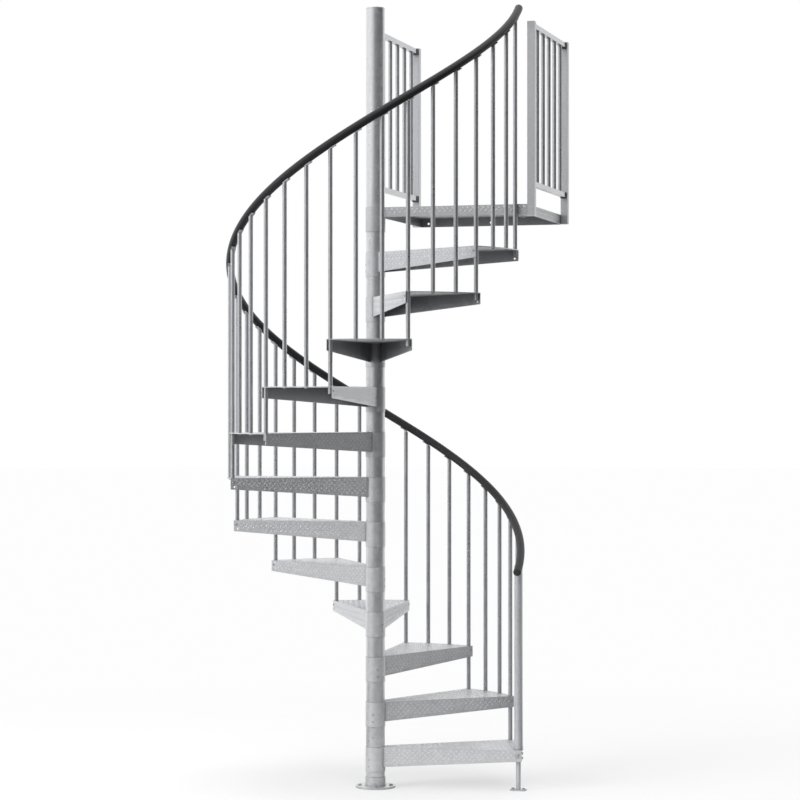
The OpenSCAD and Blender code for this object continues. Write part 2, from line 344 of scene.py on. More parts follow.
def zinc_effect():
    """Hot-dip zinc: crystal cells of slightly different grey, soft cloudy patches and faint upright
    run marks. The shares say how far each of them counts."""
    run_share, crystal_gloss, cloud_gloss = 0.45, 0.9, 0.22
    crystal_relief, grain_relief = 0.35, 0.65
    n, given, out = effect(
        "zinc_coat",
        [("Color", "color", (0.6, 0.6, 0.6, 1)), ("Crystal Size", "value", 0.012),
         ("Crystal Contrast", "value", 0.1), ("Cloud Contrast", "value", 0.1),
         ("Roughness", "value", 0.45)],
        [("Color", "color"), ("Roughness", "value"), ("Height", "value")])
    place = n.place()
    scale = n.math("DIVIDE", 1.0, given["Crystal Size"])
    bend = n.add("ShaderNodeTexNoise", {"Vector": place, "Scale": 60.0, "Detail": 2.0})
    shift = n.add("ShaderNodeVectorMath", {0: bend.outputs[1], 3: 0.006}, operation="SCALE")
    spot = n.add("ShaderNodeVectorMath", {0: place, 1: shift.outputs[0]}, operation="ADD")
    inputs = {"Vector": spot.outputs[0], "Scale": scale, "Randomness": 1.0}
    cells = n.add("ShaderNodeTexVoronoi", inputs)
    tint = n.add("ShaderNodeSeparateColor", {"Color": cells.outputs["Color"]}).outputs[0]
    crystal = n.math("MULTIPLY", n.math("SUBTRACT", tint, 0.5), given["Crystal Contrast"])
    cloud = n.math("SUBTRACT", n.noise(place, scale=5.0, detail=5.0, roughness=0.6), 0.5)
    upright = n.stretch(place, (55.0, 55.0, 3.0))
    runs = n.math("SUBTRACT", n.noise(upright, scale=1.0, detail=3.0), 0.5)
    patch = n.math("ADD", cloud, n.math("MULTIPLY", runs, run_share))
    patch = n.math("MULTIPLY", patch, given["Cloud Contrast"])
    tones = n.grey(n.math("ADD", 1.0, n.math("ADD", crystal, patch)))
    n.link(n.mix(1.0, given["Color"], tones, "MULTIPLY"), out["Color"])
    rough = n.math("ADD", given["Roughness"], n.math("MULTIPLY", crystal, crystal_gloss))
    rough = n.math("ADD", rough, n.math("MULTIPLY", cloud, cloud_gloss), clamp=True)
    n.link(rough, out["Roughness"])
    fine = n.math("MULTIPLY", n.noise(place, scale=420.0, detail=3.0), grain_relief)
    n.link(n.math("ADD", n.math("MULTIPLY", tint, crystal_relief), fine), out["Height"])
    return n.tree


def wear_and_shade_effect():
    """Wear along edges, where a rounded normal leaves the true one, broken up by noise; a corner mask
    for painted shade and dirt both; and how far a face is sheltered by what stands near it, the mask
    for painted shade there."""
    corner_reach, shelter_reach = 0.006, 0.14
    n, given, out = effect(
        "edge_wear_and_shade",
        [("Radius", "value", 0.002), ("Break Up", "value", 0.5)],
        [("Mask", "value"), ("Crevice", "value"), ("Shelter", "value"), ("Soft Normal", "vector")])
    # Close occlusion masks corners, for painted shade and dirt both.
    shut = n.add("ShaderNodeAmbientOcclusion", {"Distance": corner_reach}, samples=4)
    n.link(n.ramp(shut.outputs["AO"], 0.7, 0.3), out["Crevice"])
    # Wide occlusion masks sheltered faces, for painted shade.
    wide = n.add("ShaderNodeAmbientOcclusion", {"Distance": shelter_reach}, samples=6)
    n.link(n.ramp(wide.outputs["AO"], 0.92, 0.45), out["Shelter"])
    soft = n.add("ShaderNodeBevel", {"Radius": given["Radius"]}, samples=4).outputs[0]
    true = n.add("ShaderNodeNewGeometry").outputs["Normal"]
    edge = n.ramp(n.math("SUBTRACT", 1.0, n.lean(soft, true)), 0.02, 0.22)
    broken = n.ramp(n.noise(n.place(), scale=38.0, detail=6.0, roughness=0.7), 0.38, 0.6)
    gap = n.math("MULTIPLY", given["Break Up"], n.math("SUBTRACT", 1.0, broken))
    n.link(n.math("MULTIPLY", edge, n.math("SUBTRACT", 1.0, gap)), out["Mask"])
    n.link(soft, out["Soft Normal"])
    return n.tree


def scuff_effect():
    """Foot and hand scuffs: thin stretched noise in two directions, kept to patches."""
    n, given, out = effect(
        "scuffs", [("Size", "value", 0.02), ("Amount", "value", 0.3)], [("Mask", "value")])
    place = n.place()
    scale = n.math("DIVIDE", 1.0, given["Size"])
    scaled = n.add("ShaderNodeVectorMath", {0: place, 3: scale}, operation="SCALE").outputs[0]
    one = n.noise(n.stretch(scaled, (9.0, 0.8, 2.0)), scale=1.0, detail=5.0, roughness=0.7)
    two = n.noise(n.stretch(scaled, (0.7, 8.0, 2.0)), scale=1.3, detail=5.0, roughness=0.7)
    lines = n.ramp(n.math("MAXIMUM", one, two), 0.6, 0.74)
    patch = n.ramp(n.noise(place, scale=9.0, detail=3.0), 0.45, 0.62)
    marks = n.math("MULTIPLY", n.math("MULTIPLY", lines, patch), given["Amount"])
    n.link(marks, out["Mask"])
    return n.tree


ZINC = zinc_effect()
WEAR_AND_SHADE = wear_and_shade_effect()
SCUFF = scuff_effect()
# CREVICE_SHADE_AND_DIRT and SHADE_AND_DIRT_TONE set how far and how dark corners are darkened:
# painted shade and dirt both.
CREVICE_SHADE_AND_DIRT = 0.75
# SHELTER_SHADE_TONE is the dark tone that sheltered faces are mixed towards: painted shade.
SHELTER_SHADE_TONE = 0.2
SHADE_AND_DIRT_TONE = 0.3
WORN_TONE = 1.35
WORN_GLOSS = 0.14


def base_color(slot):
    """A slot's base colour in the record, with alpha."""
    found = [m["base_color"] for m in RECORD["materials"] if m["slot"] == slot]
    return (*found[0], 1.0)


def shade(color, factor):
    return (*[c * factor for c in color[:3]], 1.0)


def new_material(name):
    material = bpy.data.materials.new(name)
    material.use_nodes = True
    tree = material.node_tree
    tree.nodes.clear()
    return material, Nodes(tree)


def galvanised(name, color, crystal, rough, metal, scuffs, wear, bump, shade_in_shelter=0.3, flat=True):
    """Dull zinc coating with crystals, edges rubbed bright by wear and scuffs, over a fine grainy
    bump.
    Sheltered faces are painted darker as shade, and corners are painted darker as shade and dirt
    both. Only flat stock has its corners' shading rounded off."""
    material, n = new_material(name)
    inputs = {"Color": color, "Crystal Size": crystal, "Roughness": rough}
    coat = n.add("ShaderNodeGroup", inputs, node_tree=ZINC)
    wear_and_shade = n.add("ShaderNodeGroup", node_tree=WEAR_AND_SHADE)
    scuff = n.add("ShaderNodeGroup", {"Amount": scuffs}, node_tree=SCUFF)
    edges = n.math("MULTIPLY", wear_and_shade.outputs["Mask"], wear)
    marks = n.math("MAXIMUM", edges, scuff.outputs["Mask"])
    # Painted shade: sheltered faces are mixed towards a dark tone.
    shelter_shade_share = n.math("MULTIPLY", wear_and_shade.outputs["Shelter"], shade_in_shelter)
    shelter_shaded = n.mix(shelter_shade_share, coat.outputs["Color"], shade(color, SHELTER_SHADE_TONE))
    # Painted shade and dirt both: corners are mixed towards a darker tone.
    corner_shade_and_dirt = n.math("MULTIPLY", wear_and_shade.outputs["Crevice"], CREVICE_SHADE_AND_DIRT)
    shaded_and_dirty = n.mix(corner_shade_and_dirt, shelter_shaded, shade(color, SHADE_AND_DIRT_TONE))
    tint = n.mix(marks, shaded_and_dirty, shade(color, WORN_TONE))
    gloss = n.math("SUBTRACT", coat.outputs["Roughness"], n.math("MULTIPLY", marks, WORN_GLOSS))
    grain = n.add("ShaderNodeBump", {
        "Strength": bump, "Distance": 0.0006, "Height": coat.outputs["Height"]})
    if flat:
        n.link(wear_and_shade.outputs["Soft Normal"], grain.inputs["Normal"])
    n.surface(n.add("ShaderNodeBsdfPrincipled", {
        "Base Color": tint, "Roughness": gloss, "Metallic": metal, "Normal": grain.outputs[0]}))
    return material


def handrail_finish(name, color):
    """Satin black cover: a fine leathery grain, dusty lighter patches and rubbed streaks."""
    dust_share, dust_tone, edge_share, rubbed_tone = 0.4, 1.5, 0.4, 2.0
    gloss_least, gloss_swing = 0.30, 0.2
    material, n = new_material(name)
    place = n.place()
    cloud = n.noise(place, scale=7.0, detail=5.0, roughness=0.6)
    dust = n.ramp(cloud, 0.42, 0.7)
    scuff = n.add("ShaderNodeGroup", {"Amount": 0.5}, node_tree=SCUFF)
    wear_and_shade = n.add("ShaderNodeGroup", node_tree=WEAR_AND_SHADE)
    tone = n.mix(n.math("MULTIPLY", dust, dust_share), color, shade(color, dust_tone))
    edges = n.math("MULTIPLY", wear_and_shade.outputs["Mask"], edge_share)
    rubbed = n.math("MAXIMUM", scuff.outputs["Mask"], edges)
    tint = n.mix(rubbed, tone, shade(color, rubbed_tone))
    gloss = n.math("ADD", gloss_least, n.math("MULTIPLY", cloud, gloss_swing))
    pores = n.add("ShaderNodeTexVoronoi", {"Vector": place, "Scale": 900.0}).outputs["Distance"]
    grain = n.add("ShaderNodeBump", {
        "Strength": 0.25, "Distance": 0.0004, "Height": pores,
        "Normal": wear_and_shade.outputs["Soft Normal"]})
    n.surface(n.add("ShaderNodeBsdfPrincipled", {
        "Base Color": tint, "Roughness": gloss, "Specular IOR Level": 0.35,
        "Normal": grain.outputs[0]}))
    return material


PLATE_COLOR = base_color("galvanised_plate")
TUBE_COLOR = base_color("galvanised_tube")
POLE_COLOR = base_color("galvanised_pole")
RAIL_COLOR = base_color("handrail_cover")
# shelter sets how far each material's sheltered faces take painted shade.
pattern_finish = galvanised(
    "rubbed_pattern", shade(PLATE_COLOR, 1.12), crystal=0.006, rough=0.34, metal=0.6,
    scuffs=0.3, wear=0.9, bump=0.2)
plate_finish = galvanised(
    "galvanised_plate", shade(PLATE_COLOR, 0.95), crystal=0.016, rough=0.36, metal=0.66,
    scuffs=0.3, wear=0.5, bump=0.25, shade_in_shelter=0.66)
# The landing takes the plate colour made darker: painted shade on the landing.
landing_shaded_plate = galvanised(
    "landing_plate", shade(PLATE_COLOR, 0.82), crystal=0.016, rough=0.38, metal=0.64,
    scuffs=0.3, wear=0.5, bump=0.3, shade_in_shelter=0.5)
tube_finish = galvanised(
    "galvanised_tube", shade(TUBE_COLOR, 1.02), crystal=0.009, rough=0.36, metal=0.7,
    scuffs=0.2, wear=0.5, bump=0.25, shade_in_shelter=0.2)
baluster_finish = galvanised(
    "drawn_tube", TUBE_COLOR, crystal=0.012, rough=0.33, metal=0.86,
    scuffs=0.0, wear=0.0, bump=0.01, shade_in_shelter=0.2, flat=False)
pole_finish = galvanised(
    "galvanised_pole", shade(POLE_COLOR, 1.06), crystal=0.020, rough=0.33, metal=0.83,
    scuffs=0.0, wear=0.0, bump=0.04, shade_in_shelter=0.2, flat=False)
fixing_finish = galvanised(
    "zinc_fixings", shade(TUBE_COLOR, 0.9), crystal=0.003, rough=0.32, metal=0.75,
    scuffs=0.4, wear=0.8, bump=0.2)
weld_finish = galvanised(
    "weld_beads", shade(PLATE_COLOR, 0.85), crystal=0.004, rough=0.55, metal=0.75,
    scuffs=0.1, wear=0.6, bump=0.5)
rail_finish = handrail_finish("handrail_cover", shade(RAIL_COLOR, 0.6))
FINISHES = {"galvanised_plate": plate_finish, "galvanised_tube": tube_finish,
            "galvanised_pole": pole_finish, "handrail_cover": rail_finish}


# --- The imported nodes: their finishes, and softened edges on what is folded, cut or welded ---

def finish_nodes():
    slots = {p["node"]: p["material_slot"] for p in RECORD["subparts"]}
    for name, node in NODES.items():
        for slot in node.material_slots:
            slot.link = "OBJECT"
            slot.material = FINISHES[slots[name]]
            if name.startswith(("balusters", "guard")):
                slot.material = baluster_finish
            elif name == "landing_deck":
                slot.material = landing_shaded_plate


def soften(name, width, segments):
    """Joins the node's loose triangles, clears the flat ones' inner edges and rounds the sharp
    edges."""
    node = NODES[name]
    weld = node.modifiers.new("join", "WELD")
    weld.merge_threshold = 1e-5
    flat = node.modifiers.new("clear_flats", "DECIMATE")
    flat.decimate_type = "DISSOLVE"
    flat.angle_limit = math.radians(0.5)
    bevel = node.modifiers.new("soft_edges", "BEVEL")
    bevel.width = width
    bevel.segments = segments
    bevel.limit_method = "ANGLE"
    bevel.angle_limit = math.radians(40)
    bevel.use_clamp_overlap = True
    even = node.modifiers.new("even_flats", "WEIGHTED_NORMAL")
    even.weight = 80


finish_nodes()


# --- Raised pattern: lugs that lean each way in turn ---

LUG_PITCH = 0.019
LUG_L = 0.0215
LUG_W = 0.0072
LUG_H = 0.0014
LUG_SINK = 0.0002
LUG_LEAN = 0.25 * math.pi
LUG = lathe([(1.0, -LUG_SINK), (0.72, 0.7 * LUG_H), (0.3, LUG_H)], 8)
LUG[0][:, 0] *= LUG_L / 2
LUG[0][:, 1] *= LUG_W / 2

# How far lugs keep from edges and from what stands on the plate
EDGE_CLEAR = LUG_L * 0.6
HUB_CLEAR = 0.012
HOLE_CLEAR = 0.017
BALUSTER_CLEAR = 0.018
FIXING_CLEAR = 0.012
POST_CLEAR = 0.05
SLEEVE_CLEAR = 0.08
HUB_END_CLEAR = 0.01
X_WAY = np.array([1.0, 0.0, 0.0])


def lug_field(shell, origin, along, normal, size, keep):
    """Lugs on a plane, set at the corners of a square lattice that stands on its point.
    Rows of lugs lean forward and back in turn, and each row is half a step on from the last.
    along and across = normal x along span the plane, size is its extent each way, and keep
    masks (u, v)."""
    along = along / np.linalg.norm(along)
    across = np.cross(normal, along)
    half_step = LUG_PITCH / math.sqrt(2)
    rows, columns = (np.arange(int(extent / half_step) + 1) for extent in size)
    i, j = (k.ravel() for k in np.meshgrid(rows, columns, indexing="ij"))
    met = (i + j) % 2 == 0
    u, v = i[met] * half_step, j[met] * half_step
    lean = np.where(j[met] % 2 == 0, LUG_LEAN, -LUG_LEAN)
    kept = keep(u, v)
    u, v, lean = u[kept], v[kept], lean[kept]
    centres = origin + u[:, None] * along + v[:, None] * across
    x_axis = np.cos(lean)[:, None] * along + np.sin(lean)[:, None] * across
    z_axis = np.broadcast_to(normal, x_axis.shape)
    shell.repeat(LUG, centres, np.stack([x_axis, np.cross(normal, x_axis), z_axis], axis=-1))


def clear_of(u, v, spots):
    """True where a point keeps away from each (u, v, radius)."""
    good = np.ones(u.shape, bool)
    for spot_u, spot_v, radius in spots:
        good &= np.hypot(u - spot_u, v - spot_v) > radius
    return good


def tread_lugs():
    """The pattern on one tread about its middle line: the walking face, then both flanges' outer
    faces."""
    shell = Shell()
    half = CORNER[1]
    side = np.array([math.cos(SIDE_TURN), math.sin(SIDE_TURN)])

    def on_top(u, v):
        x, y = u, v - half
        r = np.hypot(x, y)
        beside = (x - ROOT[0]) * -side[1] + (np.abs(y) - ROOT[1]) * side[0]
        reach, aside = BALUSTER_R * math.cos(TREAD_TURN / 2), BALUSTER_R * math.sin(TREAD_TURN / 2)
        spots = [(reach, s * aside + half, HOLE_CLEAR) for s in (-1.0, 1.0)]
        spots += [(BALUSTER_R * math.cos(a), BALUSTER_R * math.sin(a) + half, BALUSTER_CLEAR)
                  for a in (-PLACE_ASIDE, PLACE_ASIDE)]
        inside = (beside < -EDGE_CLEAR) & (r < TREAD_R - EDGE_CLEAR) & (r > HUB_R + HUB_CLEAR)
        return inside & clear_of(u, v, spots)

    lug_field(shell, np.array([0.0, -half, 0.0]), X_WAY, UP, (TREAD_R, 2 * half), on_top)

    def on_side(u, v):
        depth = FLANGE_IN + (FLANGE_OUT - FLANGE_IN) * u / SIDE_L
        spots = [(PLACE_U, SCREW_DROP, FIXING_CLEAR),
                 (SIDE_L - VENT_INSET, VENT_DROP, FIXING_CLEAR)]
        inside = (u > HUB_CLEAR) & (u < SIDE_L - EDGE_CLEAR)
        return inside & (v > EDGE_CLEAR) & (v < depth - EDGE_CLEAR) & clear_of(u, v, spots)

    for sign in (-1.0, 1.0):
        along = np.array([side[0], sign * side[1], 0.0])
        outward = np.array([-side[1], sign * side[0], 0.0])
        origin = np.array([ROOT[0], sign * ROOT[1], 0.0])
        if sign > 0:
            lug_field(shell, origin, along, outward, (SIDE_L, FLANGE_IN), on_side)
        else:
            lug_field(shell, origin + SIDE_L * along, -along, outward, (SIDE_L, FLANGE_IN),
                      lambda u, v: on_side(SIDE_L - u, v))
    return shell


def raised_pattern():
    """One tread's lugs, turned and lifted to each tread."""
    common = tread_lugs()
    for i, name in enumerate(TREADS, start=1):
        build(f"pattern_{name}", common.turned_copy(tread_middle(i), TREAD_TOP[i - 1]),
              pattern_finish, crease=40.0)


def landing_pattern():
    """Lugs on the deck and on its three open flanges."""
    shell = Shell()
    width, depth = DECK_RIGHT - DECK_LEFT, DECK_BACK - DECK_FRONT

    def between(value, extent, low_gap=EDGE_CLEAR, high_gap=EDGE_CLEAR):
        return (value > low_gap) & (value < extent - high_gap)

    def on_deck(u, v):
        beyond_hub = np.hypot(u + DECK_LEFT, v + DECK_FRONT) > HUB_R + HUB_CLEAR
        return between(u, width) & between(v, depth) & beyond_hub

    lug_field(shell, np.array([DECK_LEFT, DECK_FRONT, DECK_TOP]), X_WAY, UP, (width, depth),
              on_deck)

    def band(length, skip):
        def keep(u, v):
            return between(u, length) & between(v, LANDING_FLANGE) & skip(u)
        return keep

    hub_end = DECK_ROOT_X + HUB_END_CLEAR - DECK_LEFT
    sides = [
        ((DECK_RIGHT, DECK_FRONT), (-1.0, 0.0), (0.0, -1.0), width, lambda u: width - u > hub_end),
        ((DECK_RIGHT, DECK_BACK), (0.0, -1.0), (1.0, 0.0), depth,
         lambda u: between(u, depth, POST_CLEAR, POST_CLEAR)),
        ((DECK_LEFT, DECK_FRONT), (0.0, 1.0), (-1.0, 0.0), depth,
         lambda u: between(u, depth, SLEEVE_CLEAR, POST_CLEAR)),
    ]
    for corner, along, outward, length, skip in sides:
        lug_field(shell, np.array([*corner, DECK_TOP]), np.array([*along, 0.0]),
                  np.array([*outward, 0.0]), (length, LANDING_FLANGE), band(length, skip))
    build("pattern_landing", shell, pattern_finish, crease=40.0)


# --- Handrail: round cover on a helix, in sections that butt with fine grooves, and domed plugs ---

RAIL_SIDES = 28
RAIL_ROWS = 96
RAIL_CREASE = 50.0

# The groove at a joint: its depth, and shares of it at steps along the rail from the joint
GROOVE = 0.0009
GROOVE_SHAPE = np.array([1.0, 0.45, 0.12, 0.0])
GROOVE_STEPS = np.array([0.0, 0.0005, 0.0012, 0.0025])

PLUG_RISE = 0.0055
PLUG_INSET = 0.0006
PLUG_SINK = 0.001


def rail_point(turn):
    """The helix on the balusters' circle: its height grows evenly with the bearing."""
    x, y = BALUSTER_R * np.cos(turn), BALUSTER_R * np.sin(turn)
    return np.stack([x, y, rail_height(turn)], axis=-1)


def ahead_of(turn):
    """Level direction of the climb at each bearing."""
    return np.stack([-np.sin(turn), np.cos(turn), np.zeros_like(turn)], axis=-1)


def rail_grid(turn, radius):
    """Circles square to the helix: radial out, and up leaned back by the rail's slope."""
    rise = UP * math.cos(RAIL_SLOPE) - ahead_of(turn) * math.sin(RAIL_SLOPE)
    a = angles_round(RAIL_SIDES)
    ring = rise[:, None] * np.sin(a)[:, None] + outward_of(turn)[:, None] * np.cos(a)[:, None]
    return rail_point(turn)[:, None] + ring[:, ::-1] * radius[:, None, None]


def handrail():
    """One tube for each section, drawn in at both ends so that the butted ends leave a groove."""
    turn_per_metre = math.cos(RAIL_SLOPE) / BALUSTER_R
    part = (RAIL_END - RAIL_START) / RAIL_SECTIONS
    inner = np.linspace(0.0, part, RAIL_ROWS)[1:-1]
    near = GROOVE_STEPS * turn_per_metre
    lip = GROOVE_SHAPE * GROOVE
    radius = RAIL_RADIUS - np.concatenate([lip, np.zeros(len(inner)), lip[::-1]])
    for section in range(RAIL_SECTIONS):
        begin = RAIL_START + section * part
        turn = begin + np.concatenate([near, inner, part - near[::-1]])
        shell = Shell()
        shell.sheet(rail_grid(turn, radius))
        build(f"rail_cover_{section + 1}", shell, rail_finish,
              (f"handrail_{section + 1}",), RAIL_CREASE)


def rail_plugs():
    """Domed plugs: a quarter of a full-shouldered ellipse turned round the rail's line at each
    end."""
    dome = np.linspace(0.0, math.pi / 2, 8)
    r = (RAIL_RADIUS - PLUG_INSET) * np.cos(dome) ** 0.55
    z = PLUG_RISE * np.sin(dome)
    foot = (RAIL_RADIUS - 2 * PLUG_INSET, -PLUG_SINK)
    plug = lathe([foot, *zip(r[:-1], z[:-1]), (0.0015, PLUG_RISE)], RAIL_SIDES)
    turn = np.array([RAIL_START, RAIL_END])
    ahead = ahead_of(turn) * math.cos(RAIL_SLOPE) + UP * math.sin(RAIL_SLOPE)
    shell = Shell()
    shell.repeat(plug, rail_point(turn), frames_along(ahead * np.array([[-1.0], [1.0]]), UP))
    build("rail_end_plugs", shell, rail_finish, ("handrail_plugs",), RAIL_CREASE)


# --- Fixings ---

FIXING_CREASE = 30.0


def rounded_screw(radius, height, sides=12):
    """Pan head: a flat flange, a domed crown and a shallow drive recess in its middle."""
    return lathe([(radius, -0.0005), (radius, 0.25 * height), (radius * 0.93, 0.55 * height),
                  (radius * 0.7, 0.9 * height), (radius * 0.45, height), (radius * 0.34, height),
                  (radius * 0.26, 0.45 * height)], sides)


def socket_screw(radius, proud):
    """Set screw: a short ring standing proud, with a deep socket."""
    return lathe([(radius, -0.002), (radius, proud * 0.7), (radius * 0.88, proud),
                  (radius * 0.58, proud), (radius * 0.52, -0.0015)], 16)


def hex_bolt(radius, height):
    """Six-sided head with its top corners turned down."""
    return lathe([(radius, -0.0003), (radius, height * 0.82), (radius * 0.86, height)], 6)


def washer(radius, thick):
    """A flat disc whose top edge is turned down."""
    return lathe([(radius, -0.0003), (radius, thick * 0.7), (radius * 0.94, thick)], 18)


def add_bolts(shell, spots, normals, ahead, ring, head, seat=0.0, head_ahead=None):
    """A washer and a hex head at each spot: ring and head give (radius, height), seat is how far
    the head stands off the spot, and ahead and head_ahead turn them about the normal."""
    shell.repeat(washer(*ring), spots, frames_along(normals, ahead))
    turned_head = frames_along(normals, ahead if head_ahead is None else head_ahead)
    shell.repeat(hex_bolt(*head), spots + normals * seat, turned_head)


def polar(angle, radius, height):
    """Points at bearings, radii and heights about the pole."""
    angle, radius, height = np.broadcast_arrays(np.asarray(angle, float), radius, height)
    return np.stack([radius * np.cos(angle), radius * np.sin(angle), height], axis=-1)


def outward_of(angle):
    angle = np.asarray(angle, float)
    return np.stack([np.cos(angle), np.sin(angle), np.zeros_like(angle)], axis=-1)


HUB_SCREW_TURN = math.radians(221.0)
HUB_SCREW_DROPS = (0.064, 0.100)
SLEEVE_SCREW_TURN = math.radians(-52.0)
SLEEVE_SCREW_BELOW_CAP = 0.037
SLEEVE_SCREW_ABOVE_DECK = 0.055
SET_SCREW_SINK = 0.0004


def hub_screws():
    """Two set screws, one above the other, in every hub and in the landing's, and one near each end
    of the top sleeve."""
    shell = Shell()
    screw = socket_screw(0.0055, 0.0012)
    turns = np.array([tread_middle(i) for i in range(1, STEPS + 1)]) + HUB_SCREW_TURN
    normals = outward_of(turns)
    for drop in HUB_SCREW_DROPS:
        spots = polar(turns, HUB_R - SET_SCREW_SINK, TREAD_TOP - drop)
        shell.repeat(screw, spots, frames_along(normals, UP))
    radius = np.array([HUB_R, HUB_R, SLEEVE_R, SLEEVE_R])
    height = np.array([*(DECK_TOP - drop for drop in HUB_SCREW_DROPS),
                       high("pole_cap").z - SLEEVE_SCREW_BELOW_CAP,
                       DECK_TOP + SLEEVE_SCREW_ABOVE_DECK])
    angle = np.full(len(radius), SLEEVE_SCREW_TURN)
    spots = polar(angle, radius - SET_SCREW_SINK, height)
    shell.repeat(screw, spots, frames_along(outward_of(angle), UP))
    build("hub_set_screws", shell, fixing_finish)


def baluster_screws():
    """A screw through each flange into the long baluster beside it, and a bolt under each short
    baluster."""
    shell = Shell()
    head = rounded_screw(0.0058, 0.0034)
    side = np.array([math.cos(SIDE_TURN), math.sin(SIDE_TURN), 0.0])
    for i in range(1, STEPS + 1):
        for sign in (-1.0, 1.0):
            along = side * np.array([1.0, sign, 1.0])
            outward = np.array([-side[1], sign * side[0], 0.0])
            spot = np.array([ROOT[0], sign * ROOT[1], -SCREW_DROP]) + PLACE_U * along
            spot = turned(spot[None], tread_middle(i), TREAD_TOP[i - 1])
            normal = turned(outward[None], tread_middle(i))
            shell.repeat(head, spot, frames_along(normal, UP[None]))
        turns = np.array([place_turn((i - 1) * PER_TREAD + k) for k in range(1, PER_TREAD)])
        below = polar(turns, BALUSTER_R, TREAD_TOP[i - 1] - PLATE)
        down = np.repeat(-UP[None], len(turns), 0)
        add_bolts(shell, below, down, outward_of(turns), (0.011, 0.0018), (0.0075, 0.0065))
    build("baluster_screws", shell, fixing_finish, crease=FIXING_CREASE)


BRACKET_SCREW_STEP = 0.0155


def bracket_screws():
    """Two screws up through each bracket plate into the handrail, set along the rail either side of
    the baluster."""
    shell = Shell()
    turn = np.array([place_turn(p) for p in range(1, PLACES + 1)])
    ahead = ahead_of(turn)
    along = ahead * math.cos(RAIL_SLOPE) + UP * math.sin(RAIL_SLOPE)
    down = ahead * math.sin(RAIL_SLOPE) - UP * math.cos(RAIL_SLOPE)
    screw = rounded_screw(0.0036, 0.0022, 10)
    for step in (-BRACKET_SCREW_STEP, BRACKET_SCREW_STEP):
        centres = rail_point(turn) + down * BRACKET_DROP + along * step
        shell.repeat(screw, centres, frames_along(down, outward_of(turn)))
    build("bracket_screws", shell, fixing_finish)


def mount(name):
    return [m for m in RECORD["mounts"] if m["name"] == name][0]


BASE_PLATE_TOP = 0.010
BASE_BOLT_TURN = math.radians(16.0)
BASE_HEAD_TWIST = 0.3
FOOT_PLATE_TOP = 0.006


def floor_bolts():
    """Hex bolts with washers over the base plate's and the newel foot's holes."""
    shell = Shell()
    pattern = mount("base_bolts")["dims"]
    count, circle = pattern["count"], pattern["pcd_mm"] / 2000
    turns = BASE_BOLT_TURN + angles_round(count)
    up = np.repeat(UP[None], count, 0)
    add_bolts(shell, polar(turns, circle, BASE_PLATE_TOP), up, outward_of(turns),
              (0.0120, 0.0018), (0.0090, 0.0055), 0.0016, outward_of(turns + BASE_HEAD_TWIST))
    foot = mount("newel_bolts")
    half = foot["dims"]["spacing_x_mm"] / 2000
    offsets = [[-half, 0.0, FOOT_PLATE_TOP], [half, 0.0, FOOT_PLATE_TOP]]
    spots = np.array(foot["pos_m"]) + np.array(offsets)
    up = np.repeat(UP[None], 2, 0)
    ahead = np.repeat(np.array([[1.0, 0.3, 0.0]]), 2, 0)
    add_bolts(shell, spots, up, ahead, (0.0095, 0.0018), (0.0075, 0.0065), 0.0015)
    build("floor_bolts", shell, fixing_finish, crease=FIXING_CREASE)


POST_BOLT_IN = 0.024


def post_bolts():
    """A bolt up through the near post's foot plate into the landing's folded edge."""
    lo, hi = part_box("post_near_right")
    spot = np.array([[lo.x + POST_BOLT_IN, 0.5 * (lo.y + hi.y), lo.z]])
    shell = Shell()
    add_bolts(shell, spot, -UP[None], np.array([[1.0, 0.2, 0.0]]),
              (0.0115, 0.0015), (0.0085, 0.005), 0.0013)
    build("post_bolt", shell, fixing_finish, crease=FIXING_CREASE)


SLAB_SIDES = 20
SLAB_SQUARE = 0.22
SLAB_ROUND = 0.001


def slab(half_x, half_y, half_z):
    """A flat bar with rounded corners: a squared-off ring, drawn in a little where it meets the two
    end faces."""
    a = angles_round(SLAB_SIDES)
    ring_x = np.sign(np.cos(a)) * np.abs(np.cos(a)) ** SLAB_SQUARE
    ring_y = np.sign(np.sin(a)) * np.abs(np.sin(a)) ** SLAB_SQUARE
    inset = SLAB_ROUND * np.array([1.0, 0.25, 0.0, 0.0, 0.25, 1.0])
    rim = half_z - SLAB_ROUND * np.array([0.0, 0.3, 1.0])
    z = np.concatenate([-rim, rim[::-1]])
    grid = np.stack([ring_x * (half_x - inset)[:, None], ring_y * (half_y - inset)[:, None],
                     np.repeat(z[:, None], SLAB_SIDES, 1)], axis=-1)
    return sheet_faces(grid)


# Guard rails and shoes: sizes, each guard's X, and rail heights above the deck
RAIL_HALF = 0.0125
CUP_WALL = 0.0016
CUP_LENGTH = 0.030
CUP_GAP = 0.0005
RIGHT_GUARD_X = 0.826
LEFT_GUARD_X = 0.0
LEFT_LOW_RAIL = 0.1035
TOP_RAIL = 0.9045


def guard_cups():
    """Dark shoes that hold the guard rails' far ends: a bottom and two cheeks each, against the far
    posts."""
    shell = Shell()
    along = frames_along(np.array([[0.0, 1.0, 0.0]]), UP[None])
    aside = RAIL_HALF + CUP_WALL
    bottom = slab(CUP_WALL, RAIL_HALF + 2 * CUP_WALL, CUP_LENGTH / 2)
    cheek = slab(aside, CUP_WALL, CUP_LENGTH / 2)
    for name, x, low_rail in (("guard_right", RIGHT_GUARD_X, low("guard_right").z + RAIL_HALF),
                              ("guard_left", LEFT_GUARD_X, DECK_TOP + LEFT_LOW_RAIL)):
        y = high(name).y - CUP_LENGTH / 2 - CUP_GAP
        for z in (low_rail, DECK_TOP + TOP_RAIL):
            centre = np.array([[x, y, z]])
            shell.repeat(bottom, centre - UP * aside, along)
            for side in (-aside, aside):
                shell.repeat(cheek, centre + X_WAY * side, along)
    build("guard_cups", shell, rail_finish)


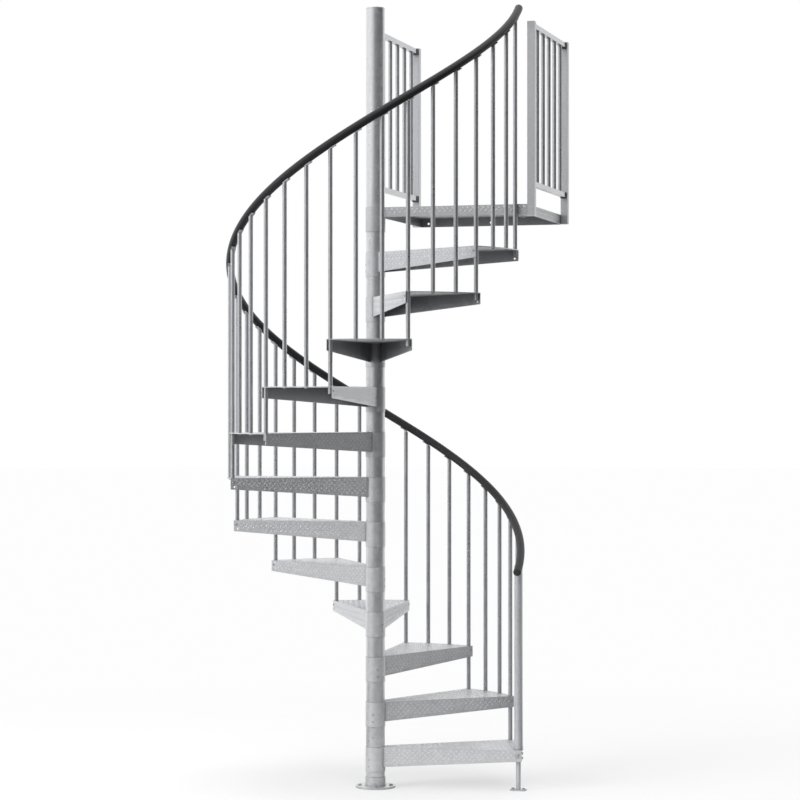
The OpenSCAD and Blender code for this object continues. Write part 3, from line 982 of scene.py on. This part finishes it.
CLAMP_PROFILE = [(0.0118, -0.050), (0.0160, -0.050), (0.0172, -0.0488), (0.0172, -0.0032),
                 (0.0160, -0.002), (0.0118, -0.002)]
CLAMP_BOLT_DROPS = (0.014, 0.038)
CLAMP_BOLT_OUT = 0.0165
CORNER_BOLT_IN = 0.024
CORNER_BOLT_DROP = 0.030


def newel_clamp():
    """Collar round the newel's leg under the first tread, with two bolts through it and one through
    the front flange."""
    shell = Shell()
    foot = np.array(mount("newel_bolts")["pos_m"])
    out = np.array([[foot[0], foot[1], 0.0]]) / math.hypot(foot[0], foot[1])
    centre = np.array([[foot[0], foot[1], TREAD_TOP[0] - PLATE]])
    shell.repeat(lathe(CLAMP_PROFILE, 28), centre, np.eye(3)[None])
    for drop in CLAMP_BOLT_DROPS:
        add_bolts(shell, centre - UP * drop + out * CLAMP_BOLT_OUT, out, UP[None],
                  (0.0085, 0.0016), (0.0066, 0.0058), 0.0014)
    side = np.array([math.cos(SIDE_TURN), -math.sin(SIDE_TURN), 0.0])
    outward = np.array([[side[1], -side[0], 0.0]])
    spot = np.array([[ROOT[0], -ROOT[1], 0.0]]) + (SIDE_L - CORNER_BOLT_IN) * side
    spot = turned(spot, tread_middle(1), TREAD_TOP[0] - CORNER_BOLT_DROP)
    add_bolts(shell, spot, turned(outward, tread_middle(1)), UP[None],
              (0.0095, 0.0016), (0.0075, 0.006), 0.0014)
    build("newel_clamp", shell, fixing_finish, crease=FIXING_CREASE)


# --- Weld beads ---

BEAD_R = 0.0026
RIPPLE = 0.0032
TAPER = 0.004
BEAD_SIDES = 7
BEAD_UP = np.array([0.31, 0.17, 0.93])
BEAD_CREASE = 60.0
BEAD_PROUD = 0.0006
BEAD_TOP = 0.004
BEAD_SHORT = 0.002
HUB_BEAD_TURN = 0.7
HUB_BEAD_BELOW = 0.0008
HUB_BEAD_POINTS = 24
DECK_BEAD_TOP = 0.003
DECK_BEAD_OUT = 0.0008
DECK_BEAD_FRONT = 0.0004
COLLAR_BEAD_R = 0.052
COLLAR_BEAD_Z = 0.0105
COLLAR_POINTS = 60
COLLAR_BEAD_SIZE = 0.0022
GUARD_POINTS = 26
GUARD_BEAD_SIZE = 0.0015
GUARD_BARS = 5
GUARD_PITCH = 0.130
GUARD_RAIL_H = 0.025
SLEEVE_OVERLAP = 0.003


def bead(shell, path, radius=BEAD_R):
    """A weld bead: a tube along the path whose radius ripples every few millimetres and tapers at
    its ends."""
    steps = np.linalg.norm(np.diff(path, axis=0), axis=1)
    lengths = np.concatenate([[0.0], np.cumsum(steps)])
    count = max(8, int(lengths[-1] / RIPPLE * 3))
    s = np.linspace(0.0, lengths[-1], count)
    line = np.stack([np.interp(s, lengths, path[:, k]) for k in range(3)], axis=-1)
    swell = 1.0 + 0.16 * np.sin(s / RIPPLE * 2 * math.pi)
    ends = np.clip(np.minimum(s, lengths[-1] - s) / TAPER, 0.25, 1.0)
    shell.sheet(tube_grid(line, radius * swell * ends, BEAD_SIDES, BEAD_UP))


def ring_path(x, y, z, radius, points):
    """A level circle about (x, y) whose last point is its first."""
    a = np.linspace(0.0, 2 * math.pi, points)
    return polar(a, radius, z) + np.array([x, y, 0.0])


def weld_beads():
    """Beads where flanges and walking plate meet the hub, on every tread and at the landing, and
    where the base collar meets its plate."""
    one = Shell()
    for sign in (-1.0, 1.0):
        x, y = ROOT[0] + BEAD_PROUD, sign * (ROOT[1] + BEAD_PROUD)
        bead(one, np.array([[x, y, -BEAD_TOP], [x, y, -FLANGE_IN + BEAD_SHORT]]))
    spread = np.linspace(-HUB_BEAD_TURN, HUB_BEAD_TURN, HUB_BEAD_POINTS)
    bead(one, polar(spread, HUB_R, -PLATE - HUB_BEAD_BELOW))
    shell = Shell()
    for i in range(1, STEPS + 1):
        shell.join(one.turned_copy(tread_middle(i), TREAD_TOP[i - 1]))
    x, y = DECK_ROOT_X + DECK_BEAD_OUT, DECK_FRONT - DECK_BEAD_FRONT
    foot = DECK_TOP - LANDING_FLANGE + BEAD_SHORT
    bead(shell, np.array([[x, y, DECK_TOP - DECK_BEAD_TOP], [x, y, foot]]))
    bead(shell, ring_path(0.0, 0.0, COLLAR_BEAD_Z, COLLAR_BEAD_R, COLLAR_POINTS), COLLAR_BEAD_SIZE)
    build("weld_beads", shell, weld_finish, crease=BEAD_CREASE)


def guard_welds():
    """Thin beads round the guards' balusters where they meet the rails."""
    shell = Shell()
    for name, near in (("guard_right", low("guard_right").y),
                       ("guard_left", SLEEVE_R - SLEEVE_OVERLAP)):
        lo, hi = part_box(name)
        x = 0.5 * (lo.x + hi.x)
        middle = 0.5 * (near + hi.y)
        for n in range(GUARD_BARS):
            y = middle + (n - (GUARD_BARS - 1) / 2) * GUARD_PITCH
            for z in (lo.z + GUARD_RAIL_H, hi.z - GUARD_RAIL_H):
                ring = ring_path(x, y, z, BALUSTER_RADIUS, GUARD_POINTS)
                bead(shell, ring, GUARD_BEAD_SIZE)
    build("guard_welds", shell, weld_finish, crease=BEAD_CREASE)


raised_pattern()
landing_pattern()
handrail()
rail_plugs()
hub_screws()
baluster_screws()
bracket_screws()
floor_bolts()
post_bolts()
guard_cups()
newel_clamp()
weld_beads()
guard_welds()
for folded in [*TREADS, "landing_deck"]:
    soften(folded, 0.0014, 3)
for cut in ["post_near_right", "post_far_right", "post_far_left", "guard_right", "guard_left",
            "rail_brackets", "newel_foot", "newel_post", "base_flange", "pole_cap",
            "spacer_sleeves", "first_spacer", "top_sleeve"]:
    soften(cut, 0.001, 2)


# --- Studio ---

CAMERA_TURN = math.radians(16.55)
CAMERA_ASIDE = 0.1266
CAMERA_BACK = 12.578
CAMERA_HEIGHT = 1.995
CAMERA_LENS = 109.77
WHITE = (1.0, 1.0, 1.0, 1.0)

# The room: its levels, and the cosines of bearing or climb where each part starts and is full
BACKDROP_EDGE = (0.05, 0.6)
LEFT_TURN = math.radians(80)
LEFT_EDGE = (0.1, 0.9)
LEFT_LEVEL = 1.0
FRONT_LEVEL = 0.14
RIGHT_TURN = math.radians(75)
RIGHT_EDGE = (0.2, 0.8)
RIGHT_LEVEL = 0.04
ABOVE_EDGE = (0.15, 0.8)
ABOVE_LEVEL = 1.0

# The floor: how white it is near the stair, how bright it is as a source of light, and where gloss
# sees it white, by reach from the pole and by depth behind it as the camera looks
FLOOR_R = 60.0
FLOOR_SIDES = 96
FLOOR_WHITE = 0.55
FLOOR_WHITE_REACH = (1.2, 5.0)
FLOOR_TONE = 0.66
FLOOR_GRAIN = 0.04
FLOOR_NEAR = (0.7, 1.75)
FLOOR_NEAR_TONE = 0.8
FLOOR_FAR_TONE = 0.06
FLOOR_BEHIND = (0.5, 3.0)
FLOOR_AHEAD = 0.5
FLOOR_AHEAD_FAR = (-7.0, -1.5)
FLOOR_AHEAD_NEAR = (0.0, -1.0)


def make_camera():
    camera = bpy.data.objects.new("camera", bpy.data.cameras.new("camera"))
    bpy.context.scene.collection.objects.link(camera)
    camera.data.lens = CAMERA_LENS
    camera.data.sensor_width = 36.0
    camera.data.clip_end = 200.0
    camera.location = Vector(turned([[CAMERA_ASIDE, -CAMERA_BACK, CAMERA_HEIGHT]], CAMERA_TURN)[0])
    camera.rotation_euler = (math.pi / 2, 0.0, CAMERA_TURN)
    bpy.context.scene.camera = camera


def make_world():
    """A white backdrop, which the camera sees on every side and the object behind, to the left and
    above, and a dimmer room elsewhere."""
    world = bpy.data.worlds.new("studio")
    bpy.context.scene.world = world
    world.use_nodes = True
    n = Nodes(world.node_tree)
    n.tree.nodes.clear()
    way = n.add("ShaderNodeTexCoord").outputs["Generated"]

    def towards(turn, start, full):
        """How far a direction leans to a bearing, from 0 at cosine start to 1 at cosine full."""
        return n.ramp(n.lean(way, (math.sin(turn), -math.cos(turn), 0.0)), start, full)

    behind = towards(CAMERA_TURN + math.pi, *BACKDROP_EDGE)
    left = n.math("MULTIPLY", towards(CAMERA_TURN - LEFT_TURN, *LEFT_EDGE), LEFT_LEVEL)
    right = towards(CAMERA_TURN + RIGHT_TURN, *RIGHT_EDGE)
    right = n.math("MULTIPLY", right, FRONT_LEVEL - RIGHT_LEVEL)
    climb = n.add("ShaderNodeSeparateXYZ", {0: way}).outputs[2]
    above = n.math("MULTIPLY", n.ramp(climb, *ABOVE_EDGE), ABOVE_LEVEL)
    front = n.math("SUBTRACT", FRONT_LEVEL, right)
    room = n.math("MAXIMUM", front, n.math("MAXIMUM", left, above))
    room = n.math("MAXIMUM", room, behind)
    eye = n.add("ShaderNodeLightPath").outputs["Is Camera Ray"]
    seen = n.math("MAXIMUM", room, eye)
    n.surface(n.add("ShaderNodeBackground", {"Color": WHITE, "Strength": seen}),
              "ShaderNodeOutputWorld")


def make_floor():
    """A round floor: near the stair it is lit and takes shadow, and further off it turns to plain
    white. As a source of light it is pale only near the stair, and gloss sees it white behind the
    stair and grey before it."""
    material, n = new_material("studio_floor")
    place = n.place()
    reach = n.add("ShaderNodeVectorMath", {0: place}, operation="LENGTH").outputs["Value"]
    depth = n.lean(place, (-math.sin(CAMERA_TURN), math.cos(CAMERA_TURN), 0.0))
    path = n.add("ShaderNodeLightPath").outputs
    eye = path["Is Camera Ray"]
    gloss = n.math("MAXIMUM", path["Is Glossy Ray"], path["Is Transmission Ray"])
    ahead = n.math("MULTIPLY", n.ramp(depth, *FLOOR_AHEAD_FAR),
                   n.ramp(depth, *FLOOR_AHEAD_NEAR, 0.0, FLOOR_AHEAD))
    shine = n.math("MAXIMUM", n.ramp(depth, *FLOOR_BEHIND), ahead)
    seen = n.math("MAXIMUM", eye, n.math("MULTIPLY", gloss, shine))
    far = n.ramp(reach, *FLOOR_WHITE_REACH, FLOOR_WHITE, 1.0)
    grain = n.noise(place, scale=3.0, detail=3.0)
    tone = n.math("ADD", FLOOR_TONE, n.math("MULTIPLY", grain, FLOOR_GRAIN))
    bounce = n.ramp(reach, *FLOOR_NEAR, FLOOR_NEAR_TONE, FLOOR_FAR_TONE)
    tone = n.math("MULTIPLY", tone, n.math("MAXIMUM", eye, bounce))
    lit = n.add("ShaderNodeBsdfPrincipled", {"Base Color": n.grey(tone), "Roughness": 0.75})
    glow = n.add("ShaderNodeEmission", {"Color": (0.985, 0.985, 0.99, 1.0), "Strength": 1.0})
    n.surface(n.add("ShaderNodeMixShader", {
        0: n.math("MULTIPLY", far, seen), 1: lit.outputs[0], 2: glow.outputs[0]}))
    rim = polar(angles_round(FLOOR_SIDES), FLOOR_R, 0.0)
    mesh = bpy.data.meshes.new("studio_floor")
    mesh.from_pydata(rim.tolist(), [], [list(range(FLOOR_SIDES))])
    mesh.materials.append(material)
    floor = bpy.data.objects.new("studio_floor", mesh)
    bpy.context.scene.collection.objects.link(floor)


def lamp(name, turn, distance, height, size, power, aim, spread):
    """A soft lamp at a bearing from the pole, measured like the camera's, aimed at a height on the
    pole's axis. Gloss sees only the room and the backdrop, so the lamps leave no hard streaks on
    the tubes."""
    light = bpy.data.lights.new(name, "AREA")
    light.shape = "RECTANGLE"
    light.size, light.size_y = size
    light.energy = power
    light.spread = math.radians(spread)
    lamp_object = bpy.data.objects.new(name, light)
    bpy.context.scene.collection.objects.link(lamp_object)
    spot = Vector((distance * math.sin(turn), -distance * math.cos(turn), height))
    lamp_object.location = spot
    lamp_object.visible_glossy = False
    way = Vector((0.0, 0.0, aim)) - spot
    lamp_object.rotation_euler = way.to_track_quat("-Z", "Y").to_euler()


make_camera()
make_world()
make_floor()
lamp("key_left", CAMERA_TURN - math.radians(62), distance=9.0, height=3.5, size=(4.0, 4.0),
     power=800.0, aim=2.0, spread=180.0)
lamp("top", CAMERA_TURN, distance=0.8, height=9.0, size=(4.0, 4.0),
     power=380.0, aim=0.0, spread=180.0)
lamp("low_fill", CAMERA_TURN + math.radians(24), distance=3.0, height=1.3, size=(1.8, 0.9),
     power=6.0, aim=0.5, spread=70.0)
bpy.context.scene.view_settings.view_transform = "Standard"
